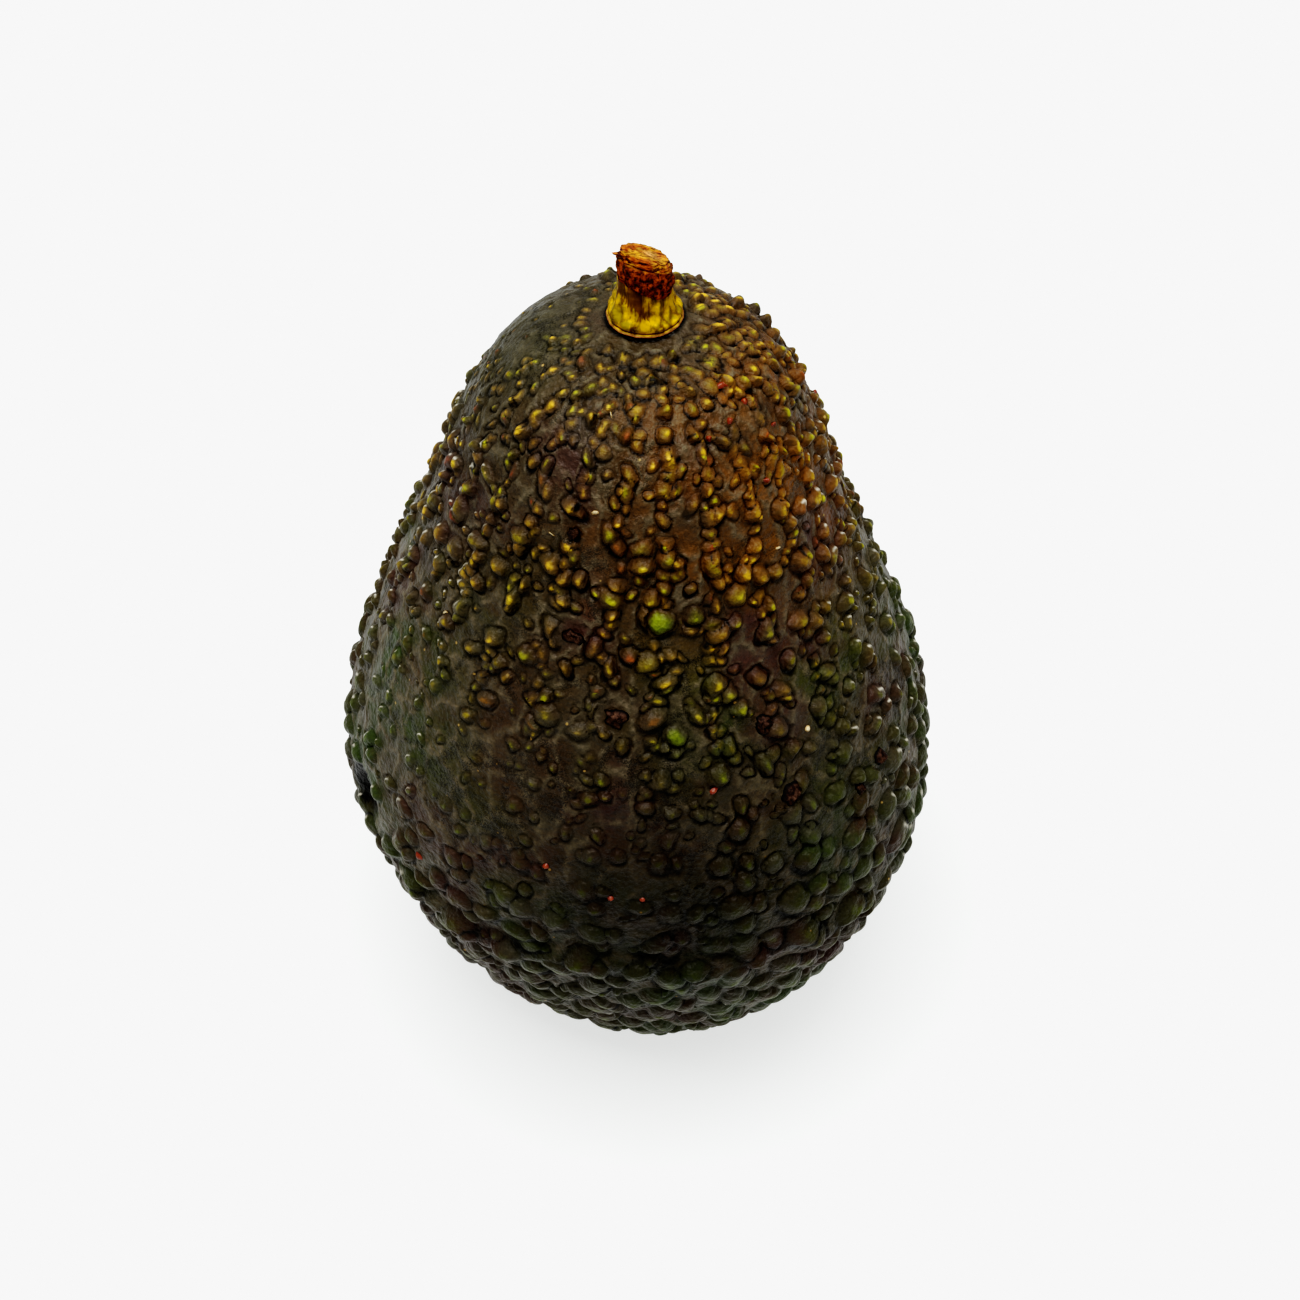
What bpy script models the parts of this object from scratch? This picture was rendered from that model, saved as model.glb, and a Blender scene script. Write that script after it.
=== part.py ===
# Avocado, standing on its blossom end, with the short stub of the stem that it was cut from.
# Metres, +Z up. The origin is the middle of the flat spot that the fruit rests on.
# -Y is the front, where the skin is roughest; -X is its left.

import math

import bmesh
import bpy
import numpy as np

# Fruit, measured in the valleys between its pebbles
FRUIT_WIDTH = 0.0684
FRUIT_LENGTH = 0.1050  # pole to pole, before the resting flat comes off
REST_RADIUS = 0.0105
SEAT_RADIUS = 0.0048
# Half width as a share of sin(t), by rising powers of cos(t), with t from 0 at the blossom end to pi
PEAR_TERMS = (0.967, 0.325, -0.282, -0.229, 0.521)

# How this fruit departs from an even pear
NECK_LEAN = -0.0009
NECK_LEAN_FROM = 0.035
DIMPLE_DEPTH = 0.0008
DIMPLE_RADIUS = 0.0085
STEM_PLACE = (0.0003, 0.0018)  # the stem grows a little behind the middle
# Swells and hollows of the form: azimuth in degrees (0 is +X, -90 the front), height, reach, rise
SWELLS = (
    (-172.0, 0.0450, 0.0090, 0.0008),
    (-160.0, 0.0420, 0.0060, 0.0006),
    (-156.0, 0.0440, 0.0024, -0.0013),
    (-112.0, 0.0210, 0.0190, -0.0020),
    (70.0, 0.0500, 0.0160, -0.0006),
)

# Pebbles
PEBBLE_COUNT = 1330
PEBBLE_HEIGHT = 0.00078
PEBBLE_HEIGHT_SPREAD = 0.00023
PEBBLE_SHIFT = 0.0011
PEBBLE_MARGINS = (0.0005, 0.0003)  # height kept free above the resting flat and below the stem's seat
VALLEY_DEPTH = 0.00012
GOLDEN_ANGLE = math.pi * (3.0 - math.sqrt(5.0))
BARE_BAND = 0.0035  # the relief fades in over this height above the resting flat
# Turn in radians from one pebble's scatter value to the next, for its height, turn and size
HEIGHT_SCATTER = 12.9898
TURN_SCATTER = 78.233
SIZE_SCATTER = 37.7

# Mesh
REST_SIDES = 28
SEAT_SIDES = 18
FLAT_MARGIN = 1e-4  # in t
POLE_MARGIN = 0.004  # in t
TABLE_STEPS = 6000
SLOPE_STEP = 1e-3  # in t

# Smoother patches: azimuth, height, reach, share of the relief taken away
CALM_PATCHES = (
    (159.0, 0.1010, 0.0080, 0.80),
    (2.0, 0.1010, 0.0080, 0.60),
    (-124.0, 0.0620, 0.0130, 0.55),
    (-89.0, 0.0520, 0.0110, 0.45),
    (75.0, 0.0600, 0.0170, 0.50),
)
# Warts that stand above the pebbles: azimuth, height, reach, rise
WARTS = (
    (-83.0, 0.0825, 0.0024, 0.0009),
    (-110.0, 0.0713, 0.0022, 0.0007),
    (-103.0, 0.0700, 0.0022, 0.0008),
    (-80.0, 0.0696, 0.0022, 0.0009),
    (-149.0, 0.0823, 0.0024, 0.0008),
    (-62.0, 0.0690, 0.0020, 0.0006),
    (-58.0, 0.0600, 0.0020, 0.0006),
    (35.0, 0.0520, 0.0030, 0.0009),
    (130.0, 0.0700, 0.0028, 0.0009),
)

# Stem stub, heights above its foot
STEM_GAP = 0.0003
STEM_SIDES = 26
STEM_FOOT_RADIUS = 0.0038
STEM_WAIST_RADIUS = 0.0030
STEM_CORK_RADIUS = 0.0029
STEM_CUT_RADIUS = 0.0024
STEM_COLLAR_HEIGHT = 0.0039
STEM_HEIGHT = 0.0070
# Radius and height from the middle of the foot to the middle of the cut
STEM_OUTLINE = (
    (0.0, 0.0),
    (0.0021, 0.0),
    (STEM_FOOT_RADIUS, 0.0),
    (0.00388, 0.0004),
    (0.00353, 0.0011),
    (0.00327, 0.0016),
    (0.00309, 0.0028),
    (STEM_WAIST_RADIUS, STEM_COLLAR_HEIGHT),
    (0.00305, 0.0046),
    (STEM_CORK_RADIUS, 0.0054),
    (0.00256, 0.0062),
    (STEM_CUT_RADIUS, STEM_HEIGHT),
    (0.00175, 0.0071),
    (0.0011, 0.0065),
    (0.0, 0.0063),
)
STEM_CUT_SLOPE = -0.30  # the cut falls to the right
STEM_WRINKLES = 9
STEM_WRINKLE_DEPTH = 0.00016
STEM_WRINKLE_FROM = 0.0006  # the wrinkles fade in over this height
SPLINTER_AZIMUTH = 200.0
SPLINTER_WIDTH = 26.0
SPLINTER_RISE = 0.0011
TORN_SHARE = 0.85  # the rim is torn from this share of the height upward
TORN_TEETH = 7
TORN_RISE = 0.00018


def clear_scene():
    for found in list(bpy.data.objects):
        bpy.data.objects.remove(found, do_unlink=True)


def make_collection(name):
    made = bpy.data.collections.new(name)
    bpy.context.scene.collection.children.link(made)
    return made


def make_material(name, colour, roughness):
    made = bpy.data.materials.new(name)
    made.use_nodes = True
    shader = made.node_tree.nodes["Principled BSDF"]
    shader.inputs["Base Color"].default_value = (*colour, 1.0)
    shader.inputs["Roughness"].default_value = roughness
    shader.inputs["Metallic"].default_value = 0.0
    made.diffuse_color = (*colour, 1.0)
    return made


def add_object(name, mesh_edit, material, collection):
    mesh = bpy.data.meshes.new(name)
    bmesh.ops.recalc_face_normals(mesh_edit, faces=mesh_edit.faces)
    mesh_edit.to_mesh(mesh)
    mesh_edit.free()
    mesh.shade_smooth()
    mesh.materials.append(material)
    made = bpy.data.objects.new(name, mesh)
    collection.objects.link(made)
    return made


# Pear form

def pear_ring(t):
    cosine = np.cos(t)
    share = sum(term * cosine**power for power, term in enumerate(PEAR_TERMS))
    radius = FRUIT_WIDTH / 2 * np.sin(t) * share
    height = FRUIT_LENGTH / 2 * (1 - cosine)
    return radius, height


def find_t(radius, pole):
    # The t at which the pear has this radius, within 1 of the pole at t = 0 or pi.
    steps = np.linspace(0.0, 1.0, 400)
    t = abs(pole - steps)
    return float(np.interp(radius, pear_ring(t)[0], t))


REST_T = find_t(REST_RADIUS, 0.0)
SEAT_T = find_t(SEAT_RADIUS, math.pi)
REST_HEIGHT = float(pear_ring(REST_T)[1])
SEAT_HEIGHT = float(pear_ring(SEAT_T)[1]) - DIMPLE_DEPTH - REST_HEIGHT


def even_point(t, azimuth, rise):
    # A point standing `rise` above the even pear, with the resting flat at height zero.
    radius, height = pear_ring(t)
    next_radius, next_height = pear_ring(t + SLOPE_STEP)
    last_radius, last_height = pear_ring(t - SLOPE_STEP)
    outward = np.array([next_height - last_height, last_radius - next_radius])
    outward = outward / np.linalg.norm(outward)
    radius = radius + rise * outward[0]
    height = height + rise * outward[1] - REST_HEIGHT
    return np.array([radius * math.cos(azimuth), radius * math.sin(azimuth), height])


def spot_weight(point, azimuth, height, reach):
    # 1 at a named spot of the skin, falling away over `reach`.
    t = math.acos(1 - 2 * (height + REST_HEIGHT) / FRUIT_LENGTH)
    middle = even_point(t, math.radians(azimuth), 0.0)
    return math.exp(-((np.linalg.norm(point - middle) / reach) ** 2))


def skin_point(t, azimuth, rise):
    # A point standing `rise` above the real form: swollen, leaning and dimpled.
    even = even_point(t, azimuth, 0.0)
    for angle, height, reach, swell in SWELLS:
        rise = rise + swell * spot_weight(even, angle, height, reach)
    point = even_point(t, azimuth, rise)
    lean_share = min(1.0, max(0.0, (point[2] - NECK_LEAN_FROM) / (FRUIT_LENGTH - NECK_LEAN_FROM)))
    point[0] += NECK_LEAN * math.sin(math.pi * lean_share)
    if t > math.pi / 2:
        near_stem = math.exp(-((math.hypot(even[0], even[1]) / DIMPLE_RADIUS) ** 4))
        point += near_stem * np.array([*STEM_PLACE, -DIMPLE_DEPTH])
    return point


# Pebbles

def bare_share(t):
    return min(1.0, float(pear_ring(t)[1] - REST_HEIGHT) / BARE_BAND)


def relief(index, t, azimuth):
    # How far pebble number `index` stands above the form.
    even = even_point(t, azimuth, 0.0)
    rise = PEBBLE_HEIGHT + PEBBLE_HEIGHT_SPREAD * math.sin(SIZE_SCATTER * index)
    for angle, height, reach, share in CALM_PATCHES:
        rise *= 1.0 - share * spot_weight(even, angle, height, reach)
    for angle, height, reach, extra in WARTS:
        rise += extra * spot_weight(even, angle, height, reach)
    return rise * bare_share(t)


def pebble_sites():
    # A golden-angle spiral, even in height, with each pebble shifted a little off it.
    # The first and the last are a step and a half from the flats.
    low = REST_HEIGHT
    high = float(pear_ring(SEAT_T)[1])
    for index in range(PEBBLE_COUNT):
        height = low + (high - low) * (index + 1.5) / (PEBBLE_COUNT + 2)
        height += PEBBLE_SHIFT * math.sin(HEIGHT_SCATTER * index)
        height = min(max(height, low + PEBBLE_MARGINS[0]), high - PEBBLE_MARGINS[1])
        t = math.acos(1 - 2 * height / FRUIT_LENGTH)
        shift = PEBBLE_SHIFT * math.sin(TURN_SCATTER * index) / float(pear_ring(t)[0])
        yield t, index * GOLDEN_ANGLE + shift


def globe_table():
    # Polar angle on a unit globe that keeps the pear's small shapes undistorted.
    t = np.linspace(POLE_MARGIN, np.pi - POLE_MARGIN, TABLE_STEPS)
    radius, height = pear_ring(t)
    steps = np.hypot(np.diff(radius), np.diff(height)) * 2 / (radius[1:] + radius[:-1])
    run = np.concatenate([[0.0], np.cumsum(steps)])
    run -= np.interp(np.pi / 2, t, run)
    return t, 2 * np.arctan(np.exp(run))


def make_fruit(material, collection):
    # The pebbles and their flats are joined into triangles on the globe, then laid on the pear.
    t_table, globe = globe_table()
    rest = [(REST_T, 2 * math.pi * side / REST_SIDES) for side in range(REST_SIDES)]
    seat = [(SEAT_T, 2 * math.pi * side / SEAT_SIDES) for side in range(SEAT_SIDES)]
    poles = [(t_table[0], 0.0), (t_table[-1], 0.0)]
    pebbles = list(pebble_sites())
    edit = bmesh.new()
    for t, azimuth in pebbles + rest + seat + poles:
        polar = float(np.interp(t, t_table, globe))
        flat = math.sin(polar)
        edit.verts.new((flat * math.cos(azimuth), flat * math.sin(azimuth), -math.cos(polar)))
    rises = [relief(index, t, azimuth) for index, (t, azimuth) in enumerate(pebbles)]
    bmesh.ops.convex_hull(edit, input=list(edit.verts))
    bmesh.ops.subdivide_edges(edit, edges=list(edit.edges), cuts=1, use_grid_fill=True)
    for number, vertex in enumerate(edit.verts):
        place = vertex.co.normalized()
        polar = math.acos(max(-1.0, min(1.0, -place.z)))
        t = float(np.interp(polar, globe, t_table))
        azimuth = math.atan2(place.y, place.x)
        radius = float(pear_ring(t)[0])
        if t <= REST_T + FLAT_MARGIN:
            vertex.co = (radius * math.cos(azimuth), radius * math.sin(azimuth), 0.0)
        elif t >= SEAT_T - FLAT_MARGIN:
            vertex.co = (
                STEM_PLACE[0] + radius * math.cos(azimuth),
                STEM_PLACE[1] + radius * math.sin(azimuth),
                SEAT_HEIGHT,
            )
        elif number < len(rises):
            vertex.co = skin_point(t, azimuth, rises[number])
        else:
            vertex.co = skin_point(t, azimuth, -VALLEY_DEPTH * bare_share(t))
    return add_object("fruit", edit, material, collection)


# Stem stub

def shape_stem_point(radius, azimuth, height):
    # Wrinkles round the collar, the slanted cut and the splinter at its torn rim.
    wrinkle = STEM_WRINKLE_DEPTH * math.sin(STEM_WRINKLES * azimuth)
    wide = radius + wrinkle * min(1.0, height / STEM_WRINKLE_FROM) * radius / STEM_FOOT_RADIUS
    x = wide * math.cos(azimuth)
    y = wide * math.sin(azimuth)
    turned = math.degrees(math.remainder(azimuth - math.radians(SPLINTER_AZIMUTH), 2 * math.pi))
    rim_share = radius / STEM_CUT_RADIUS
    splinter = SPLINTER_RISE * math.exp(-((turned / SPLINTER_WIDTH) ** 2)) * rim_share**2
    torn = TORN_RISE * math.sin(TORN_TEETH * azimuth) * rim_share
    grown = min(1.0, height / STEM_HEIGHT)
    top = max(0.0, (grown - TORN_SHARE) / (1.0 - TORN_SHARE))
    return x, y, height + grown**3 * STEM_CUT_SLOPE * x + top * (splinter + torn)


def make_stem(material, collection):
    edit = bmesh.new()
    outline = [edit.verts.new((radius, 0.0, height)) for radius, height in STEM_OUTLINE]
    for lower, upper in zip(outline, outline[1:]):
        edit.edges.new((lower, upper))
    bmesh.ops.spin(
        edit,
        geom=list(edit.verts) + list(edit.edges),
        axis=(0.0, 0.0, 1.0),
        cent=(0.0, 0.0, 0.0),
        steps=STEM_SIDES,
        angle=2 * math.pi,
        use_merge=True,
    )
    bmesh.ops.remove_doubles(edit, verts=list(edit.verts), dist=1e-6)
    bmesh.ops.triangulate(edit, faces=list(edit.faces))
    for vertex in edit.verts:
        radius = math.hypot(vertex.co.x, vertex.co.y)
        azimuth = math.atan2(vertex.co.y, vertex.co.x)
        x, y, height = shape_stem_point(radius, azimuth, vertex.co.z)
        vertex.co = (x + STEM_PLACE[0], y + STEM_PLACE[1], height + SEAT_HEIGHT + STEM_GAP)
    return add_object("stem", edit, material, collection)


def build():
    clear_scene()
    collection = make_collection("avocado")
    skin = make_material("avocado_skin", (0.055, 0.050, 0.022), 0.42)
    bark = make_material("stem_bark", (0.42, 0.24, 0.06), 0.70)
    make_fruit(skin, collection)
    make_stem(bark, collection)


build()
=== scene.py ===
import math

import bmesh
import bpy
import numpy as np
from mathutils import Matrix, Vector, noise
from mathutils.bvhtree import BVHTree


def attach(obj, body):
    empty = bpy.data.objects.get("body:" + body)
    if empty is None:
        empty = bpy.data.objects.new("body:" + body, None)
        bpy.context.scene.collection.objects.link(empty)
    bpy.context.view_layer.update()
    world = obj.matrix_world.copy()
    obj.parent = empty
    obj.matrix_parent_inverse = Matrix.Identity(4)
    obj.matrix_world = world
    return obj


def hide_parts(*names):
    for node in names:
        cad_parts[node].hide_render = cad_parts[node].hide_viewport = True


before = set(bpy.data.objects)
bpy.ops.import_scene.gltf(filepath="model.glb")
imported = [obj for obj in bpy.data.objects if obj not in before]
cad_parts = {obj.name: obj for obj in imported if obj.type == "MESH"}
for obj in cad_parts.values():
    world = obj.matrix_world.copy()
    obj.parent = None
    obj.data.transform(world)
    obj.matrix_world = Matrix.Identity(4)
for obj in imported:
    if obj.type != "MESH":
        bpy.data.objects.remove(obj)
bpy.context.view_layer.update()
scene = bpy.context.scene
print("frame loaded")


def linked(name, data):
    thing = bpy.data.objects.new(name, data)
    scene.collection.objects.link(thing)
    return thing


# camera: the photograph looks down on the standing fruit from close by
cameraSet = {
    "elevation": 47.5,
    "distance": 0.2452,
    "aimHeight": 0.0546,
    "aimSide": 0.0008,
    "lens": 58.15,
}


def makeCamera(c):
    tilt = math.radians(c["elevation"])
    data = bpy.data.cameras.new("photoCamera")
    data.lens = c["lens"]
    data.sensor_width = 36.0
    data.clip_start = 0.01
    camera = linked("photoCamera", data)
    camera.location = (
        c["aimSide"],
        -c["distance"] * math.cos(tilt),
        c["aimHeight"] + c["distance"] * math.sin(tilt),
    )
    camera.rotation_euler = (math.pi / 2 - tilt, 0.0, 0.0)
    scene.camera = camera


makeCamera(cameraSet)


# studio: white floor, one big soft light above and a little behind, dim white surroundings
studio = {
    "floorColour": (0.62, 0.63, 0.615),
    "floorWarm": (0.60, 0.61, 0.605),
    "floorGlowColour": (0.99, 1.0, 0.985, 1.0),
    "floorGlow": 0.50,
    "floorHalf": 3.0,
    "topPower": 2.6,
    "topSize": 0.36,
    "topPlace": (-0.04, -0.10, 0.62),
    "backPower": 0.3,
    "backSize": 0.5,
    "backPlace": (0.1, 0.6, 0.45),
    "aim": (0.0, 0.0, 0.05),
    "belowFloor": (0.02, 0.02, 0.02),
    "worldColour": (0.97, 0.985, 1.0),
    "worldStrength": 0.46,
}
# the photograph's own contrast: deep shade, pale floor short of white
toneCurve = ((0.008, 0.0), (0.026, 0.004), (0.057, 0.031), (0.145, 0.185), (0.32, 0.44), (0.66, 0.77), (1.0, 0.93))


def addAreaLight(name, place, target, size, power):
    data = bpy.data.lights.new(name, "AREA")
    data.shape = "SQUARE"
    data.size = size
    data.energy = power
    lamp = linked(name, data)
    lamp.location = place
    lamp.rotation_euler = (Vector(target) - Vector(place)).to_track_quat("-Z", "Y").to_euler()


def makeStudio(s):
    world = bpy.data.worlds.new("studioWorld")
    world.use_nodes = True
    sky = world.node_tree.nodes["Background"]
    tree = world.node_tree
    up = parts(tree, out(tree, tree.nodes.new("ShaderNodeTexCoord"), "Generated"))[2]
    above = blendColour(tree, up.ramp(-0.04, 0.02), s["belowFloor"], s["worldColour"])
    tree.links.new(above.socket, sky.inputs["Color"])
    sky.inputs["Strength"].default_value = s["worldStrength"]
    scene.world = world
    addAreaLight("topSoftbox", s["topPlace"], s["aim"], s["topSize"], s["topPower"])
    addAreaLight("backSoftbox", s["backPlace"], s["aim"], s["backSize"], s["backPower"])
    scene.view_settings.view_transform = "Standard"
    scene.view_settings.use_curve_mapping = True
    mapping = scene.view_settings.curve_mapping
    curve = mapping.curves[3]
    curve.points[0].location = toneCurve[0]
    curve.points[1].location = toneCurve[-1]
    for point in toneCurve[1:-1]:
        curve.points.new(*point)
    mapping.extend = "HORIZONTAL"
    mapping.update()


# node helpers: arithmetic on node sockets, for geometry and shader trees alike
def feed(tree, slot, value):
    if isinstance(value, Field):
        tree.links.new(value.socket, slot)
    else:
        slot.default_value = value


class Field:
    def __init__(self, tree, socket):
        self.tree = tree
        self.socket = socket

    def do(self, operation, *others):
        node = self.tree.nodes.new("ShaderNodeMath")
        node.operation = operation
        for slot, value in zip(node.inputs, (self, *others)):
            feed(self.tree, slot, value)
        return Field(self.tree, node.outputs[0])

    def __add__(self, other):
        return self.do("ADD", other)

    def __sub__(self, other):
        return self.do("SUBTRACT", other)

    def __mul__(self, other):
        return self.do("MULTIPLY", other)

    def __truediv__(self, other):
        return self.do("DIVIDE", other)

    def __pow__(self, other):
        return self.do("POWER", other)

    __radd__ = __add__
    __rmul__ = __mul__

    def __rsub__(self, other):
        return (self * -1.0) + other

    def squared(self):
        return self * self

    def clamped(self, low, high):
        return self.do("MAXIMUM", low).do("MINIMUM", high)

    def bell(self, width):
        return ((self / width).squared() * -1.0).do("EXPONENT")

    def ramp(self, low, high):
        share = ((self - low) / (high - low)).clamped(0.0, 1.0)
        return share.squared() * (3.0 - share * 2.0)


def addNode(tree, kind, settings=None, **links):
    node = tree.nodes.new(kind)
    for key, value in (settings or {}).items():
        setattr(node, key, value)
    for key, value in links.items():
        feed(tree, node.inputs[key.replace("_", " ")], value)
    return node


def out(tree, node, key=0):
    return Field(tree, node.outputs[key])


def vector(tree, x, y, z):
    node = tree.nodes.new("ShaderNodeCombineXYZ")
    for slot, value in zip(node.inputs, (x, y, z)):
        feed(tree, slot, value)
    return out(tree, node)


def parts(tree, value):
    node = tree.nodes.new("ShaderNodeSeparateXYZ")
    feed(tree, node.inputs[0], value)
    return [Field(tree, socket) for socket in node.outputs]


def vectorMath(tree, operation, *values, key=0):
    node = tree.nodes.new("ShaderNodeVectorMath")
    node.operation = operation
    for slot, value in zip(node.inputs, values):
        feed(tree, slot, value)
    return out(tree, node, key)


def distance(tree, a, b):
    return vectorMath(tree, "DISTANCE", a, b, key="Value")


def noiseAt(tree, place, scale, detail=2.0, roughness=0.5):
    kind = "ShaderNodeTexNoise"
    node = addNode(tree, kind, {"noise_dimensions": "3D"}, Scale=scale, Detail=detail, Roughness=roughness)
    feed(tree, node.inputs["Vector"], place)
    return out(tree, node, 0)


def cellsAt(tree, place, scale, feature="F1"):
    node = addNode(tree, "ShaderNodeTexVoronoi", {"feature": feature}, Scale=scale)
    feed(tree, node.inputs["Vector"], place)
    return node


def blendColour(tree, share, first, second):
    node = addNode(tree, "ShaderNodeMix", {"data_type": "RGBA"})
    feed(tree, node.inputs["Factor"], share)
    for slot, value in ((node.inputs[6], first), (node.inputs[7], second)):
        if isinstance(value, Field):
            tree.links.new(value.socket, slot)
        else:
            slot.default_value = (*value, 1.0)
    return out(tree, node, 2)


makeStudio(studio)
print("studio ready")


# form of the fruit, the same pear as the solid's, in metres
form = {
    "Width": 0.0684,
    "Length": 0.1050,
    "Rest Radius": 0.0105,
    "Seat Radius": 0.0048,
    "Neck Lean": -0.0009,
    "Lean From": 0.035,
    "Dimple Depth": 0.0008,
    "Dimple Radius": 0.0085,
    "Stem Side": 0.0003,
    "Stem Back": 0.0018,
}
pearTerms = (0.967, 0.325, -0.282, -0.229, 0.521)  # by rising powers of cos(t)
# azimuth in degrees, height, reach, rise
swells = (
    (-172.0, 0.0450, 0.0090, 0.0008),
    (-160.0, 0.0420, 0.0060, 0.0006),
    (-156.0, 0.0440, 0.0024, -0.0013),
    (-112.0, 0.0210, 0.0190, -0.0020),
    (70.0, 0.0500, 0.0160, -0.0006),
)


def ringAt(t):
    cosine = math.cos(t)
    share = sum(term * cosine**power for power, term in enumerate(pearTerms))
    return form["Width"] / 2 * math.sin(t) * share, form["Length"] / 2 * (1 - cosine)


def tAtRadius(radius, pole):
    steps = np.linspace(0.0, 1.0, 400)
    return float(np.interp(radius, [ringAt(abs(pole - step))[0] for step in steps], abs(pole - steps)))


restHeight = ringAt(tAtRadius(form["Rest Radius"], 0.0))[1]
topHeight = ringAt(tAtRadius(form["Seat Radius"], math.pi))[1]
seatHeight = topHeight - form["Dimple Depth"] - restHeight


def evenSpot(azimuth, height):
    # a point of the even pear, from degrees and a height above the floor
    t = math.acos(1 - 2 * (height + restHeight) / form["Length"])
    turn = math.radians(azimuth)
    radius = ringAt(t)[0]
    return (radius * math.cos(turn), radius * math.sin(turn), height)


class PearNodes:
    # the pear's formula as nodes, from u = cos(t), s = sin(t) and the azimuth's cosine and sine
    def __init__(self, tree, group, u, s, cosAz, sinAz):
        self.tree, self.group = tree, group
        self.cosAz, self.sinAz = cosAz, sinAz
        share = pearTerms[-1]
        slope = (len(pearTerms) - 1) * pearTerms[-1]
        for power in range(len(pearTerms) - 2, -1, -1):
            share = u * share + pearTerms[power]
        for power in range(len(pearTerms) - 2, 0, -1):
            slope = u * slope + power * pearTerms[power]
        half = group["Width"] * 0.5
        self.radius = half * s * share
        self.height = group["Length"] * 0.5 * (1.0 - u) - restHeight
        rise = group["Length"] * 0.5 * s
        widen = half * (u * share - s.squared() * slope)
        size = (rise.squared() + widen.squared()).do("SQRT")
        self.outFlat = rise / size
        self.outUp = (widen / size) * -1.0
        self.even = self.place(0.0)

    def place(self, rise):
        flat = self.radius + self.outFlat * rise
        return vector(self.tree, flat * self.cosAz, flat * self.sinAz, self.height + self.outUp * rise)

    def across(self):
        return vector(self.tree, self.sinAz * -1.0, self.cosAz, 0.0)

    def upward(self):
        back = self.outUp * -1.0
        return vector(self.tree, back * self.cosAz, back * self.sinAz, self.outFlat)

    def spots(self, table, start=0.0):
        total = start
        for azimuth, height, reach, amount in table:
            total = total + distance(self.tree, self.even, evenSpot(azimuth, height)).bell(reach) * amount
        return total

    def ground(self):
        # broad waves and small unevenness under the pebbles
        even = self.place(self.spots(swells))
        waves = (noiseAt(self.tree, even, 95.0, 2.0) - 0.5) * 2.0 * self.group["Lump Height"]
        waves = waves + (noiseAt(self.tree, even, 270.0, 1.0) - 0.5) * self.group["Lump Height"]
        fold = (self.height - 0.0385) * 1000.0 + (noiseAt(self.tree, even, 60.0, 1.0) - 0.5) * 10.0
        front = (self.sinAz * -1.0).ramp(0.45, 0.80)
        return waves + ((fold + 1.8).bell(1.8) * 0.0007 - (fold - 1.4).bell(1.5) * 0.0006) * front

    def shaped(self, rise):
        # swollen, leaning and dimpled
        group = self.group
        x, y, z = parts(self.tree, self.place(self.spots(swells, rise)))
        lean = ((z - group["Lean From"]) / (group["Length"] - group["Lean From"])).clamped(0.0, 1.0)
        x = x + (lean * math.pi).do("SINE") * group["Neck Lean"]
        nearStem = ((self.radius / group["Dimple Radius"]) ** 4.0 * -1.0).do("EXPONENT")
        nearStem = nearStem * self.height.ramp(0.05, 0.09)
        x = x + nearStem * group["Stem Side"]
        y = y + nearStem * group["Stem Back"]
        z = z - nearStem * group["Dimple Depth"]
        return vector(self.tree, x, y, z)


# pebbles: where they stand and how big they are
pebbleSet = {
    "Pebble Count": 1330,
    "Pebble Radius": 0.00104,
    "Broad Radius": 0.00180,
    "Pebble Height": 0.00088,
    "Pebble Shift": 0.0011,
    "Small Count": 5200,
    "Small Radius": 0.00070,
    "Crease Depth": 0.00022,
    "Rim Height": 0.00009,
    "Lump Height": 0.0006,
    "Wrinkle Height": 0.00012,
    "Seed": 7,
}
goldenAngle = math.pi * (3.0 - math.sqrt(5.0))
classCount = 4  # spiral neighbours never share a class, so each class is searched for its own nearest pebble
# the small deep dent in the left flank, and the reach of its shade
dent = {
    "azimuth": -159.0,
    "height": 0.0450,
    "reach": 0.0024,
    "depth": 0.0013,
    "shade": (0.0024, 0.0040),
    "ring": 0.033,
}
# azimuth, height, reach, share of the relief taken away
calmPatches = (
    (159.0, 0.1000, 0.0085, 0.85),
    (130.0, 0.0960, 0.0070, 0.60),
    (-124.0, 0.0600, 0.0140, 0.60),
    (-150.0, 0.0600, 0.0120, 0.40),
    (-89.0, 0.0520, 0.0100, 0.40),
    (75.0, 0.0600, 0.0170, 0.50),
    (-158.0, 0.0445, 0.0038, 0.95),
)
# azimuth, height, radius, rise, lime share
warts = (
    (-83.0, 0.0822, 0.00150, 0.0011, 1.0),
    (-85.5, 0.0845, 0.00105, 0.0008, 0.15),
    (-80.5, 0.0700, 0.00125, 0.0009, 0.6),
    (-87.0, 0.0780, 0.00120, 0.0009, 0.2),
    (-110.0, 0.0713, 0.00150, 0.0008, 0.1),
    (-74.0, 0.0823, 0.00120, 0.0008, 0.55),
    (-61.0, 0.0830, 0.00135, 0.0008, 0.3),
    (-149.0, 0.0823, 0.00140, 0.0008, 0.1),
    (-88.5, 0.0880, 0.00115, 0.0008, 0.1),
    (35.0, 0.0520, 0.00160, 0.0009, 0.2),
    (130.0, 0.0700, 0.00150, 0.0009, 0.2),
    (95.0, 0.0860, 0.00120, 0.0008, 0.2),
)
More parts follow.
